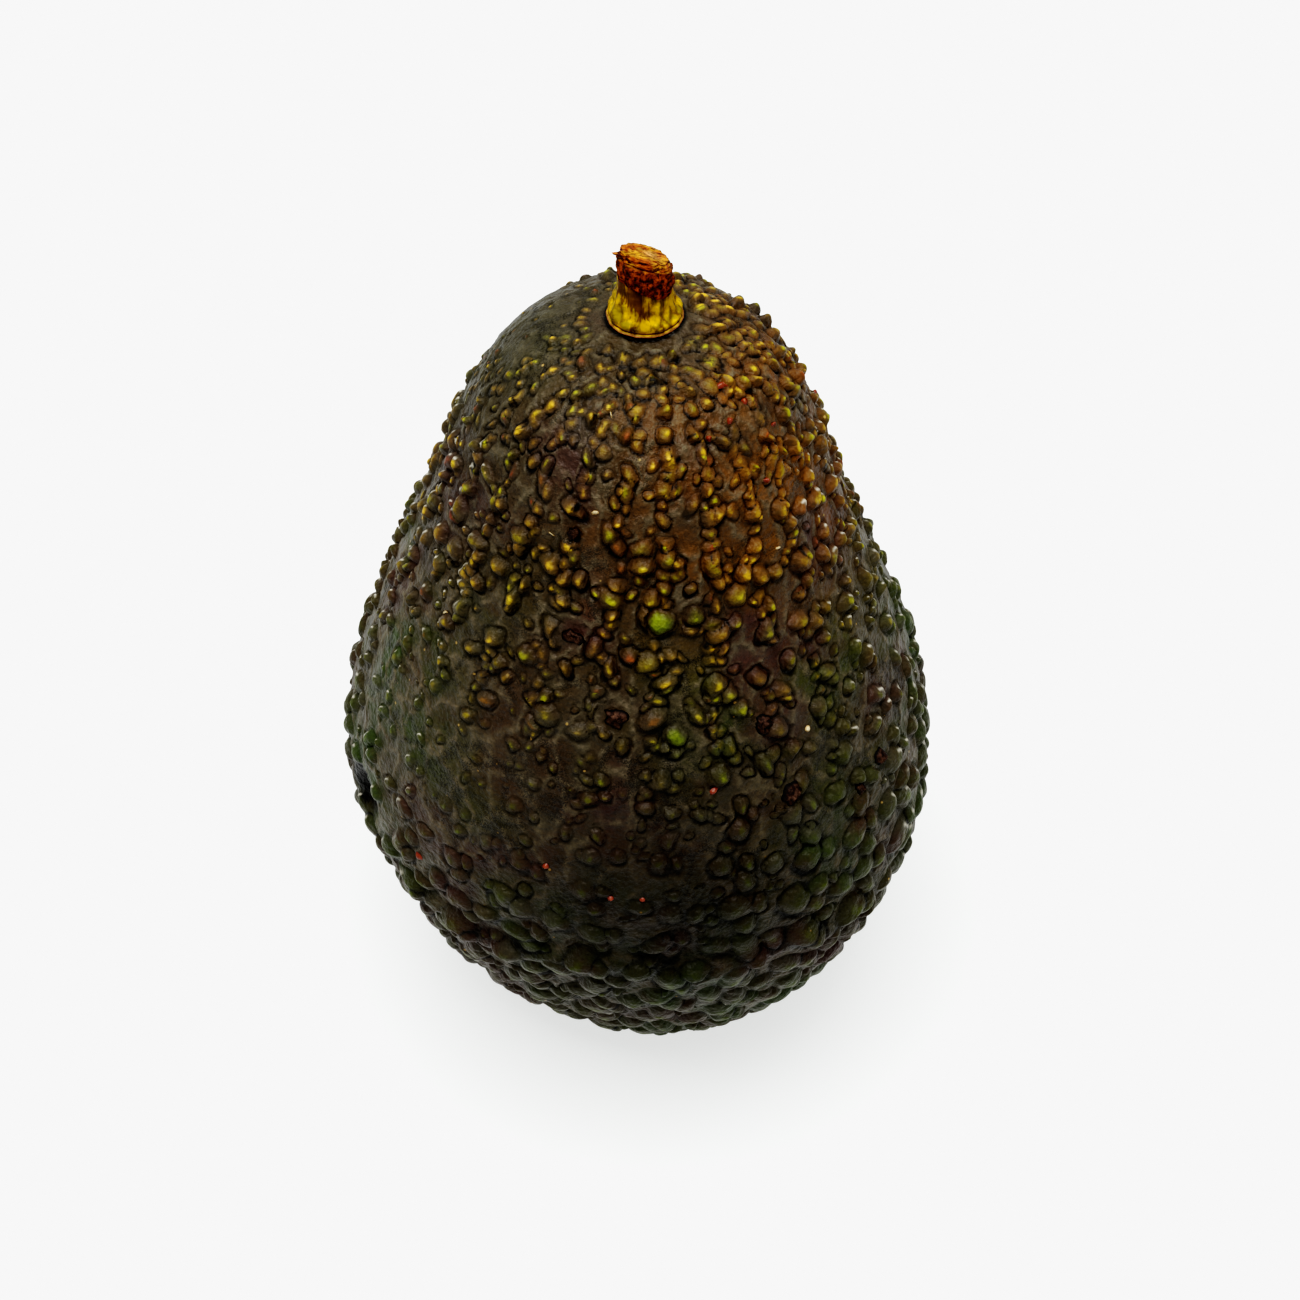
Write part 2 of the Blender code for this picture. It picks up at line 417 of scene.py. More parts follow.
# azimuth, height, radius, rise, stretch, turn
scarSpots = (
    (-96.0, 0.0722, 0.00115, 0.00070, 1.15, 1.4),
    (-62.0, 0.0690, 0.00105, 0.00060, 1.1, 0.3),
    (-58.0, 0.0600, 0.00120, 0.00065, 1.25, 1.6),
    (-33.0, 0.0560, 0.00110, 0.00055, 1.2, 1.2),
    (-41.0, 0.0550, 0.00080, 0.00045, 1.3, 0.8),
    (-108.0, 0.0800, 0.00100, 0.00055, 1.2, 0.2),
    (-111.0, 0.0905, 0.00070, 0.00045, 1.1, 0.9),
    (48.0, 0.0740, 0.00120, 0.00060, 1.2, 0.7),
    (112.0, 0.0480, 0.00130, 0.00060, 1.3, 2.1),
    (160.0, 0.0640, 0.00100, 0.00055, 1.1, 0.1),
)


def storeValue(tree, geometry, name, value, kind="FLOAT"):
    node = addNode(tree, "GeometryNodeStoreNamedAttribute", {"data_type": kind, "domain": "POINT"})
    feed(tree, node.inputs["Geometry"], geometry)
    node.inputs["Name"].default_value = name
    feed(tree, node.inputs["Value"], value)
    return out(tree, node)


def readValue(tree, name, kind="FLOAT"):
    node = addNode(tree, "GeometryNodeInputNamedAttribute", {"data_type": kind})
    node.inputs["Name"].default_value = name
    return out(tree, node)


def livePlace(tree):
    return out(tree, tree.nodes.new("GeometryNodeInputPosition"))


def dropPoints(tree, geometry, unwanted):
    node = addNode(tree, "GeometryNodeDeleteGeometry", {"domain": "POINT", "mode": "ALL"})
    feed(tree, node.inputs["Geometry"], geometry)
    feed(tree, node.inputs["Selection"], unwanted)
    return out(tree, node)


def movePoints(tree, geometry, place):
    node = addNode(tree, "GeometryNodeSetPosition")
    feed(tree, node.inputs["Geometry"], geometry)
    feed(tree, node.inputs["Position"], place)
    return out(tree, node)


def calmShare(pear):
    share = 1.0
    for azimuth, height, reach, amount in calmPatches:
        gone = distance(pear.tree, pear.even, evenSpot(azimuth, height)).bell(reach) * amount
        share = (1.0 - gone) * share
    return share


def randomValue(tree, group, low, high, shift):
    node = addNode(tree, "FunctionNodeRandomValue", {"data_type": "FLOAT"})
    node.inputs[2].default_value = low
    node.inputs[3].default_value = high
    feed(tree, node.inputs["Seed"], group["Seed"] + float(shift))
    return out(tree, node, 1)


# how fast each of a pebble's values swings from one site to the next
swings = {"height": 12.9898, "turn": 78.233, "size": 37.7, "width": 53.1, "tone": 91.7}


def luckOf(tone):
    # a second number from a pebble's tone: the low third are plain, without a bright core
    return (tone * 5.7).do("FRACT")


def siteGeometry(tree, group, count, phase, radius, small):
    # points of a golden-angle spiral on the pear, each with its size, tone and grain
    line = addNode(tree, "GeometryNodeMeshLine", {"mode": "OFFSET"})
    feed(tree, line.inputs["Count"], count)
    index = out(tree, tree.nodes.new("GeometryNodeInputIndex"))
    span = topHeight - restHeight
    share = (index + 1.5) / (count + 2.0)
    if small:
        share = 1.0 - (1.0 - share) ** 1.35
    height = restHeight + share * span
    swing = {key: ((index + phase) * rate).do("SINE") for key, rate in swings.items()}
    height = height + swing["height"] * group["Pebble Shift"]
    height = height.clamped(restHeight + 0.0005, topHeight - 0.0003)
    u = 1.0 - height * 2.0 / group["Length"]
    s = (1.0 - u.squared()).do("SQRT")
    flat = PearNodes(tree, group, u, s, 1.0, 0.0)
    azimuth = index * goldenAngle + phase + swing["turn"] * group["Pebble Shift"] / flat.radius
    pear = PearNodes(tree, group, u, s, azimuth.do("COSINE"), azimuth.do("SINE"))
    calm = calmShare(pear)
    bare = (pear.height / 0.0035).clamped(0.0, 1.0)
    size = swing["size"] * 0.25 + 0.85
    tone = (swing["tone"] * 437.5).do("FRACT")
    rise = group["Pebble Height"] * size * calm * bare
    neck = pear.height.ramp(0.040, 0.066)
    nearStem = pear.height.ramp(0.086, 0.096)
    plain = 1.0 - luckOf(tone).ramp(0.30, 0.55)
    rise = rise * (1.0 - nearStem * plain * 0.65)
    if small:
        rise = rise * 0.62
    else:
        radius = radius * neck + group["Broad Radius"] * (1.0 - neck)
        radius = radius * (1.0 - nearStem * 0.22)
    wide = radius * (swing["width"] * 0.22 + 0.97) * (calm * 0.6 + 0.4)
    long = randomValue(tree, group, 1.0, 1.25, 0) + nearStem * 0.06
    turn = randomValue(tree, group, 0.0, math.pi, 1) * (1.0 - nearStem * 0.6) + nearStem * (math.pi * 0.3)
    crisp = randomValue(tree, group, 0.25, 1.0, 2)
    geometry = out(tree, line)
    for name, value in (("wide", wide), ("tone", tone), ("neck", neck), ("calm", calm), ("order", index)):
        geometry = storeValue(tree, geometry, name, value)
    geometry = storeValue(tree, geometry, "marks", vector(tree, wide, rise, tone), "FLOAT_VECTOR")
    geometry = storeValue(tree, geometry, "grain", vector(tree, long, turn, crisp), "FLOAT_VECTOR")
    geometry = movePoints(tree, geometry, pear.shaped(pear.ground() * calm * bare))
    return dropPoints(tree, geometry, pear.height.do("LESS_THAN", 0.0016))


def nearestSite(tree, sites, place, values):
    # what the nearest site holds, read for each point
    near = addNode(tree, "GeometryNodeSampleNearest", {"domain": "POINT"})
    feed(tree, near.inputs["Geometry"], sites)
    feed(tree, near.inputs["Sample Position"], place)
    found = []
    for kind, value in values:
        sample = addNode(tree, "GeometryNodeSampleIndex", {"data_type": kind, "domain": "POINT"})
        feed(tree, sample.inputs["Geometry"], sites)
        feed(tree, sample.inputs["Value"], value)
        feed(tree, sample.inputs["Index"], out(tree, near))
        found.append(out(tree, sample))
    return found


def smallSites(tree, group, mains):
    # small pebbles only where they clear the large ones
    points = siteGeometry(tree, group, group["Small Count"], 0.37, group["Small Radius"], True)
    values = (("FLOAT_VECTOR", livePlace(tree)), ("FLOAT", readValue(tree, "wide")))
    place, wide = nearestSite(tree, mains, livePlace(tree), values)
    crowded = distance(tree, livePlace(tree), place).do("LESS_THAN", (wide + readValue(tree, "wide")) * 0.66)
    luck = (readValue(tree, "tone") * 17.3).do("FRACT")
    outer = parts(tree, livePlace(tree))[0].do("ABSOLUTE").ramp(0.016, 0.030)
    share = (readValue(tree, "neck") * 0.44 + 0.18) * (1.0 - outer * 0.75)
    crowded = crowded.do("MAXIMUM", luck.do("GREATER_THAN", share * readValue(tree, "calm").ramp(0.2, 0.8)))
    return dropPoints(tree, points, crowded)


def newTree(name, inputs):
    tree = bpy.data.node_groups.new(name, "GeometryNodeTree")
    tree.interface.new_socket("Geometry", in_out="INPUT", socket_type="NodeSocketGeometry")
    tree.interface.new_socket("Geometry", in_out="OUTPUT", socket_type="NodeSocketGeometry")
    kinds = {int: "NodeSocketInt", float: "NodeSocketFloat", tuple: "NodeSocketVector"}
    for key, value in inputs.items():
        tree.interface.new_socket(key, in_out="INPUT", socket_type=kinds[type(value)])
    entry = tree.nodes.new("NodeGroupInput")
    return tree, {socket.name: Field(tree, socket) for socket in entry.outputs if socket.name}


def endTree(tree, geometry, material):
    # every tree ends in real geometry with its finish on it
    real = addNode(tree, "GeometryNodeRealizeInstances")
    feed(tree, real.inputs["Geometry"], geometry)
    smooth = addNode(tree, "GeometryNodeSetShadeSmooth")
    feed(tree, smooth.inputs["Geometry"], out(tree, real))
    painted = addNode(tree, "GeometryNodeSetMaterial")
    feed(tree, painted.inputs["Geometry"], out(tree, smooth))
    painted.inputs["Material"].default_value = material
    tree.links.new(painted.outputs[0], tree.nodes.new("NodeGroupOutput").inputs[0])


def growPiece(name, tree, inputs, material):
    # runs a tree on an empty mesh and keeps the result as a plain mesh
    holder = linked(name + "Seed", bpy.data.meshes.new(name + "Seed"))
    modifier = holder.modifiers.new(name, "NODES")
    modifier.node_group = tree
    for item in tree.interface.items_tree:
        if item.in_out == "INPUT" and item.name in inputs:
            modifier[item.identifier] = inputs[item.name]
    graph = bpy.context.evaluated_depsgraph_get()
    mesh = bpy.data.meshes.new_from_object(holder.evaluated_get(graph), depsgraph=graph)
    mesh.name = name
    piece = linked(name, mesh)
    bpy.data.objects.remove(holder, do_unlink=True)
    if not mesh.materials:
        mesh.materials.append(material)
    print(name, len(mesh.polygons), "faces")
    return piece


# skin: six sides of a globe's net, each its own piece, with all pebbles in one relief
skinSet = {
    "Columns": 224,
    "Rows": 320,
    "Across": (1.0, 0.0, 0.0),
    "Upward": (0.0, 0.0, 1.0),
    "Outward": (0.0, -1.0, 0.0),
}
skinSides = {
    "skinFront": {},
    "skinRight": {"Across": (0.0, 1.0, 0.0), "Outward": (1.0, 0.0, 0.0)},
    "skinBack": {"Across": (-1.0, 0.0, 0.0), "Outward": (0.0, 1.0, 0.0)},
    "skinLeft": {"Across": (0.0, -1.0, 0.0), "Outward": (-1.0, 0.0, 0.0)},
    "skinTop": {"Rows": 224, "Upward": (0.0, 1.0, 0.0), "Outward": (0.0, 0.0, 1.0)},
    "skinBase": {"Rows": 224, "Upward": (0.0, -1.0, 0.0), "Outward": (0.0, 0.0, -1.0)},
}


def pearSide(tree, group):
    # one square of the globe's net
    grid = addNode(tree, "GeometryNodeMeshGrid", Size_X=2.0, Size_Y=2.0)
    feed(tree, grid.inputs["Vertices X"], group["Columns"] + 1.0)
    feed(tree, grid.inputs["Vertices Y"], group["Rows"] + 1.0)
    a, b = parts(tree, livePlace(tree))[:2]
    way = vectorMath(tree, "MULTIPLY", group["Across"], vector(tree, *[(a * (math.pi / 4)).do("TANGENT")] * 3))
    rise = vectorMath(tree, "MULTIPLY", group["Upward"], vector(tree, *[(b * (math.pi / 4)).do("TANGENT")] * 3))
    way = vectorMath(tree, "NORMALIZE", vectorMath(tree, "ADD", vectorMath(tree, "ADD", way, rise), group["Outward"]))
    x, y, z = parts(tree, way)
    s = (x.squared() + y.squared()).do("SQRT")
    return out(tree, grid), PearNodes(tree, group, z * -1.0, s, x / s, y / s)


def shakenPlace(tree, place, scale, amount):
    shake = addNode(tree, "ShaderNodeTexNoise", {"noise_dimensions": "3D"}, Scale=scale, Detail=1.0)
    feed(tree, shake.inputs["Vector"], place)
    shift = vectorMath(tree, "SUBTRACT", out(tree, shake, "Color"), (0.5, 0.5, 0.5))
    return vectorMath(tree, "MULTIPLY", shift, (amount, amount, amount))


# what the relief leaves on each point for the paint: distance from the nearest pebble in its radii, gap
# to the next one, the pebble's tone, how far below and behind its middle, crispness, green and ridge
rindNames = ("reach", "edge", "tone", "low", "crisp", "lime", "ridge", "away")


def domeOf(reach):
    return (1.0 - reach.squared()).do("MAXIMUM", 0.0) ** 0.8


def skinTree(material):
    inputs = {**form, **pebbleSet, **skinSet}
    tree, group = newTree("skinTree", inputs)
    net, pear = pearSide(tree, group)
    mains = siteGeometry(tree, group, group["Pebble Count"], 0.0, group["Pebble Radius"], False)
    smalls = smallSites(tree, group, mains)
    calm = calmShare(pear)
    bare = (pear.height / 0.0035).clamped(0.0, 1.0)
    lumps = pear.ground() * calm
    smooth = pear.shaped(lumps * bare)
    shift = vectorMath(tree, "ADD", shakenPlace(tree, smooth, 640.0, 0.0011), shakenPlace(tree, smooth, 170.0, 0.0020))
    place = vectorMath(tree, "ADD", smooth, shift)
    loose = vectorMath(tree, "ADD", pear.even, shakenPlace(tree, smooth, 500.0, 0.0011))
    # warts and scars, which other pebbles leave room for
    wart, tall, near, low, clear, lime = 0.0, 0.0, 9.0, 0.0, 0.0, 0.0
    for azimuth, height, radius, rise, green in warts:
        spot = evenSpot(azimuth, height)
        reach = distance(tree, loose, spot) / radius
        inside = 1.0 - reach.ramp(0.95, 1.15)
        wart = inside.do("MAXIMUM", wart)
        lime = (inside * green).do("MAXIMUM", lime)
        tall = (domeOf(reach) * rise).do("MAXIMUM", tall)
        low = ((spot[2] - pear.height) / radius) * inside + low
        near = reach.do("MINIMUM", near)
    for azimuth, height, radius in (spot[:3] for spot in scarSpots):
        reach = distance(tree, pear.even, evenSpot(azimuth, height)) / radius
        clear = (1.0 - reach.ramp(0.9, 1.4)).do("MAXIMUM", clear)
    second, tone, crisp, away = 9.0, 0.5, wart, 0.0
    values = (
        ("FLOAT_VECTOR", livePlace(tree)),
        ("FLOAT_VECTOR", readValue(tree, "marks", "FLOAT_VECTOR")),
        ("FLOAT_VECTOR", readValue(tree, "grain", "FLOAT_VECTOR")),
    )
    across, upward = pear.across(), pear.upward()
    for sites in (mains, smalls):
        for number in range(classCount):
            others = (readValue(tree, "order").do("MODULO", float(classCount)) - float(number)).do("ABSOLUTE")
            chosen = dropPoints(tree, sites, others.do("GREATER_THAN", 0.5))
            spot, marks, grain = nearestSite(tree, chosen, place, values)
            gap = vectorMath(tree, "SUBTRACT", place, spot)
            wide, rise, siteTone = parts(tree, marks)
            long, turn, siteCrisp = parts(tree, grain)
            a = vectorMath(tree, "DOT_PRODUCT", gap, across, key="Value")
            b = vectorMath(tree, "DOT_PRODUCT", gap, upward, key="Value")
            cosTurn, sinTurn = turn.do("COSINE"), turn.do("SINE")
            along = (a * cosTurn + b * sinTurn) / long
            aside = (b * cosTurn - a * sinTurn) * long
            reach = (along.squared() + aside.squared()).do("SQRT") / wide
            reach = reach + clear * 4.0 + wart * 4.0
            tall = (domeOf(reach) * rise).do("MAXIMUM", tall)
            nearer = reach.do("LESS_THAN", near)
            second = reach.do("MAXIMUM", near).do("MINIMUM", second)
            low = (b * -1.0 / wide - low) * nearer + low
            away = (parts(tree, gap)[1] / wide - away) * nearer + away
            tone = (siteTone - tone) * nearer + tone
            crisp = (siteCrisp - crisp) * nearer + crisp
            near = reach.do("MINIMUM", near)
    tallwise = vectorMath(tree, "MULTIPLY", place, (1.0, 1.0, 0.6))
    ridge = out(tree, cellsAt(tree, tallwise, 300.0, "DISTANCE_TO_EDGE")).bell(0.09) * near.ramp(1.15, 1.5)
    crease = ((near - 1.12) / (low.clamped(0.0, 1.0) * 0.10 + 0.15)).bell(1.0) * crisp * calm
    rim = ((near - 1.48) / 0.16).bell(1.0) * crisp * calm
    hollow = distance(tree, pear.even, evenSpot(dent["azimuth"], dent["height"])).bell(dent["reach"])
    lumps = lumps - hollow * dent["depth"]
    relief = lumps + tall + ridge * group["Wrinkle Height"] + rim * group["Rim Height"]
    relief = relief - crease * (1.0 - tall / 0.0004).clamped(0.0, 1.0) * group["Crease Depth"]
    for name, value in zip(rindNames, (near, second - near, tone, low, crisp * calm, lime, ridge, away)):
        net = storeValue(tree, net, name, value)
    x, y, z = parts(tree, pear.shaped(relief * bare))
    endTree(tree, movePoints(tree, net, vector(tree, x, y, z.do("MAXIMUM", 0.0))), material)
    return tree, inputs


# finish of the rind
rindGrain = {
    "broad": 45.0,
    "purple": 70.0,
    "patchy": 130.0,
    "grey": 210.0,
    "fine": 900.0,
    "pore": 3200.0,
    "bend": 260.0,
    "web": 230.0,
    "dots": 520.0,
    "cells": 1500.0,
    "specular": 0.22,
    "bumpStrength": 0.6,
    "bumpDepth": 0.0004,
    "bendReach": 0.003,
    "footRing": 0.0040,
    "footWidth": 0.00028,
}
# azimuth, height, reach of three large patches: lit amber, dull shoulder, deepest shade
sunnyPatch = (-38.0, 0.094, 0.017)
shoulderPatch = (159.0, 0.098, 0.016)
deepPatch = (-86.0, 0.048, 0.016)
rindPaint = {
    "brown": (0.056, 0.036, 0.020),
    "olive": (0.042, 0.058, 0.018),
    "purple": (0.060, 0.029, 0.025),
    "grey": (0.074, 0.068, 0.046),
    "amber": (0.180, 0.078, 0.012),
    "shoulder": (0.048, 0.050, 0.030),
    "gold": (0.84, 0.50, 0.040),
    "lime": (0.52, 0.50, 0.014),
    "green": (0.170, 0.220, 0.018),
    "rust": (0.46, 0.11, 0.026),
    "wartLime": (0.25, 0.33, 0.008),
    # near black: the colour of painted shade in creases and gaps
    "crease": (0.0010, 0.0007, 0.0005),
    # pale ridge colour: painted sheen on the wrinkles and pebble rims
    "ridge": (0.15, 0.125, 0.082),
    # pale colour of the painted reflection on the crests
    "crestSheen": (0.66, 0.62, 0.50),
    "speck": (0.55, 0.36, 0.12),
    "shade": (0.27, 0.25, 0.22),
}


def paintAttribute(tree, name):
    return out(tree, addNode(tree, "ShaderNodeAttribute", {"attribute_name": name}), "Fac")


def newMaterial(name):
    material = bpy.data.materials.new(name)
    material.use_nodes = True
    tree = material.node_tree
    shader = tree.nodes["Principled BSDF"]
    place = out(tree, tree.nodes.new("ShaderNodeTexCoord"), "Object")
    return material, tree, shader, place


def addBump(tree, shader, height, strength, depth):
    bump = addNode(tree, "ShaderNodeBump", Strength=strength, Distance=depth)
    feed(tree, bump.inputs["Height"], height)
    tree.links.new(bump.outputs[0], shader.inputs["Normal"])


def patchShare(tree, place, patch):
    azimuth, height, reach = patch
    return distance(tree, place, evenSpot(azimuth, height)).bell(reach)


def paintShader(tree, shader, colour, rough, specular=None):
    tree.links.new(colour.socket, shader.inputs["Base Color"])
    feed(tree, shader.inputs["Roughness"], rough)
    if specular:
        shader.inputs["Specular IOR Level"].default_value = specular


def rindMaterial(p, g):
    material, tree, shader, place = newMaterial("avocadoRind")
    x, y, z = parts(tree, place)
    reach, edge, tone, low, crisp, lime, ridge, away = (paintAttribute(tree, name) for name in rindNames)
    broad = noiseAt(tree, place, g["broad"], 3.0)
    patchy = noiseAt(tree, place, g["patchy"], 4.0, 0.6)
    fine = noiseAt(tree, place, g["fine"], 3.0, 0.6)
    pore = noiseAt(tree, place, g["pore"], 2.0, 0.6)
    upper = z.ramp(0.055, 0.085)
    # ground: brown, with olive at the sides and below, purple patches and greyer flats
    greenSide = x.do("ABSOLUTE") * 13.0 + x * 3.0 + (0.075 - z) * 8.0 + (broad - 0.5) * 3.5 + 0.10
    greenSide = greenSide.clamped(0.0, 1.0)
    ground = blendColour(tree, greenSide * patchy.ramp(0.32, 0.56), p["brown"], p["olive"])
    purple = noiseAt(tree, place, g["purple"], 2.0).ramp(0.50, 0.66)
    ground = blendColour(tree, purple * 0.75, ground, p["purple"])
    greyer = noiseAt(tree, place, g["grey"], 3.0).ramp(0.45, 0.68)
    ground = blendColour(tree, greyer * (0.65 - upper * 0.25), ground, p["grey"])
    sunny = patchShare(tree, place, sunnyPatch)
    ground = blendColour(tree, sunny * patchy.ramp(0.30, 0.60) * 0.9, ground, p["amber"])
    # painted sheen: pale lines along the fine wrinkles, and a pale rim round each pebble
    ground = blendColour(tree, ridge * (fine.ramp(0.40, 0.60) * 0.5 + 0.25), ground, p["ridge"])
    rim = (reach - 1.50).bell(0.16) * crisp * fine.ramp(0.38, 0.60)
    ground = blendColour(tree, rim * 0.55, ground, p["ridge"])
    shoulder = patchShare(tree, place, shoulderPatch)
    ground = blendColour(tree, shoulder * 0.7, ground, p["shoulder"])
    # pebble tops: gold, lime or rust above, green below
    bright = blendColour(tree, tone.ramp(0.35, 0.75), p["gold"], p["lime"])
    bright = blendColour(tree, tone.ramp(0.90, 0.95), bright, p["rust"])
    top = blendColour(tree, upper, p["green"], bright)
    top = blendColour(tree, (lime * 1.6).clamped(0.0, 1.0), top, p["wartLime"])
    crown = 1.0 - reach + (fine - 0.5) * 0.6
    vivid = luckOf(tone).squared() * 0.85 + 0.15
    core = (crown - low.clamped(-1.0, 1.0) * 0.14).ramp(0.50, 0.94)
    flank = crown.ramp(0.05, 0.55) * 0.06
    glow = (core * vivid + flank) * (upper * 0.55 + 0.45) * (patchy.ramp(0.25, 0.55) * 0.6 + 0.4)
    glow = glow.do("MAXIMUM", lime * crown.ramp(0.05, 0.70) * (patchy.ramp(0.30, 0.55) * 0.5 + 0.35))
    colour = blendColour(tree, glow.clamped(0.0, 1.0), ground, top)
    # painted shade in the creases: near black round each pebble, thickest below it, between touching pebbles, in
    # hollows and in fine lines
    below = low.clamped(0.0, 1.0)
    flat = (x.squared() + y.squared()).do("SQRT")
    side = (x.do("ABSOLUTE") / flat).ramp(0.66, 0.92) * (1.0 - z.ramp(0.090, 0.100))
    lowest = 1.0 - z.ramp(0.016, 0.040)
    zone = side.do("MAXIMUM", lowest)
    ragged = reach + (fine - 0.5) * 0.30
    ring = ((ragged - 1.12 + below * 0.03) / (below * 0.22 + 0.11)).bell(1.0) * (below * 0.40 + crisp * 0.75)
    seam = (edge + (fine - 0.5) * 0.10).bell(0.15) * (1.0 - reach.ramp(1.20, 1.50))
    hollow = edge.bell(0.40) * (ragged - 1.25).bell(0.30) * patchy.ramp(0.36, 0.56)
    ring = ring.do("MAXIMUM", hollow) * (1.0 - zone * 0.6)
    swirl = out(tree, addNode(tree, "ShaderNodeTexNoise", Scale=g["bend"]), 1)
    bent = vectorMath(tree, "MULTIPLY_ADD", swirl, (g["bendReach"],) * 3, place)
    line = out(tree, cellsAt(tree, bent, g["web"], "DISTANCE_TO_EDGE"))
    line = line.bell(0.05) * patchy.ramp(0.42, 0.58) * reach.ramp(1.1, 1.4)
    # painted shade in the gap round the stem's foot
    foot = distance(tree, vector(tree, x, y, 0.0), (form["Stem Side"], form["Stem Back"], 0.0))
    foot = (foot - g["footRing"]).bell(g["footWidth"]) * z.ramp(0.090, 0.098)
    # painted shadow filling the small dent in the left flank
    around = vector(tree, x / flat * dent["ring"], y / flat * dent["ring"], z)
    turned = math.radians(dent["azimuth"])
    middle = (dent["ring"] * math.cos(turned), dent["ring"] * math.sin(turned), dent["height"])
    notch = 1.0 - (distance(tree, around, middle) + (fine - 0.5) * 0.002).ramp(*dent["shade"])
    # together these masks are painted shade, laid on in the near-black crease colour
    dark = ring.do("MAXIMUM", seam).do("MAXIMUM", line * 0.85).do("MAXIMUM", foot).do("MAXIMUM", notch)
    colour = blendColour(tree, dark.clamped(0.0, 1.0) * 0.96, colour, p["crease"])
    # painted reflection: thin pale crests on the far edge of the scalloped bumps at the sides and low down
    far = (away * side + low * lowest).ramp(0.12, 0.42)
    crestSheen = (ragged - 0.66).bell(0.10) * far * patchy.ramp(0.30, 0.50)
    # tiny pale dots
    dots = cellsAt(tree, place, g["dots"])
    dot = (1.0 - out(tree, dots, 0).ramp(0.05, 0.11)) * parts(tree, out(tree, dots, 1))[0].ramp(0.80, 0.84)
    colour = blendColour(tree, dot * 0.7, colour, p["speck"])
    # grain, and painted shade: the lower half darker, most of all low on the front
    grey = pore * 0.9 + 0.55
    colour = vectorMath(tree, "MULTIPLY", colour, vector(tree, grey, grey, grey))
    lower = 1.0 - z.ramp(0.035, 0.080) * 0.65
    deep = (patchShare(tree, place, deepPatch) * 0.90 + lower * 0.16).clamped(0.0, 1.0)
    shaded = vectorMath(tree, "MULTIPLY", colour, p["shade"])
    colour = blendColour(tree, deep * 0.95, colour, shaded)
    # painted reflection laid over the colour on the crests
    colour = blendColour(tree, crestSheen * 0.85, colour, p["crestSheen"])
    paintShader(tree, shader, colour, fine * 0.24 + 0.34, g["specular"])
    grain = fine * 1.3 + out(tree, cellsAt(tree, place, g["cells"])) * 0.7 + pore * 0.5
    addBump(tree, shader, grain, g["bumpStrength"], g["bumpDepth"])
    return material


rind = rindMaterial(rindPaint, rindGrain)
tree, inputs = skinTree(rind)
skinPieces = [growPiece(name, tree, {**inputs, **changes}, rind) for name, changes in skinSides.items()]


# marks laid where the photograph shows them, and a few on the far side
# azimuth, height, radius, rise, stretch, turn
emberSpots = (
    (-108.5, 0.0540, 0.00034, 0.00030, 1.2, 0.4),
    (-96.0, 0.0510, 0.00034, 0.00028, 1.1, 1.4),
    (-90.0, 0.0510, 0.00032, 0.00028, 1.0, 0.0),
    (-75.0, 0.0635, 0.00040, 0.00034, 1.5, 2.8),
    (-138.0, 0.0450, 0.00045, 0.00030, 1.5, 0.9),
    (-43.0, 0.1010, 0.00042, 0.00034, 1.3, 0.5),
    (-37.0, 0.0995, 0.00036, 0.00030, 1.2, 1.7),
    (-50.0, 0.0990, 0.00034, 0.00030, 1.1, 2.2),
    (-31.0, 0.0965, 0.00032, 0.00028, 1.2, 0.8),
    (-62.0, 0.0985, 0.00030, 0.00028, 1.0, 0.0),
    (-45.0, 0.0930, 0.00034, 0.00030, 1.3, 1.2),
    (20.0, 0.0880, 0.00036, 0.00030, 1.2, 0.4),
    (80.0, 0.0700, 0.00036, 0.00030, 1.2, 1.4),
    (140.0, 0.0900, 0.00036, 0.00030, 1.2, 2.4),
)
paleSpots = (
    (-145.5, 0.0750, 0.00036, 0.00024, 1.5, 2.2),
    (-51.0, 0.0660, 0.00034, 0.00024, 1.1, 0.4),
    (-105.0, 0.0930, 0.00030, 0.00024, 1.6, 2.6),
    (-118.0, 0.0900, 0.00018, 0.00024, 4.5, 0.6),
    (-105.0, 0.1005, 0.00018, 0.00024, 4.0, 1.2),
    (-47.0, 0.0860, 0.00020, 0.00022, 1.8, 0.2),
    (150.0, 0.0760, 0.00030, 0.00024, 1.4, 0.9),
)

# a mark stands off the skin along a line from this height, less steep than the skin itself
spotSet = {"turnHeight": 0.045, "upShare": 0.5, "skirt": 1.15, "skirtDrop": 0.15, "lumpScale": 1500.0}
skinFaces = []
for piece in skinPieces:
    points = [vertex.co for vertex in piece.data.vertices]
    skinFaces.append(BVHTree.FromPolygons(points, [polygon.vertices for polygon in piece.data.polygons]))


def onSkin(place):
    return min((faces.find_nearest(place) for faces in skinFaces), key=lambda found: found[3])


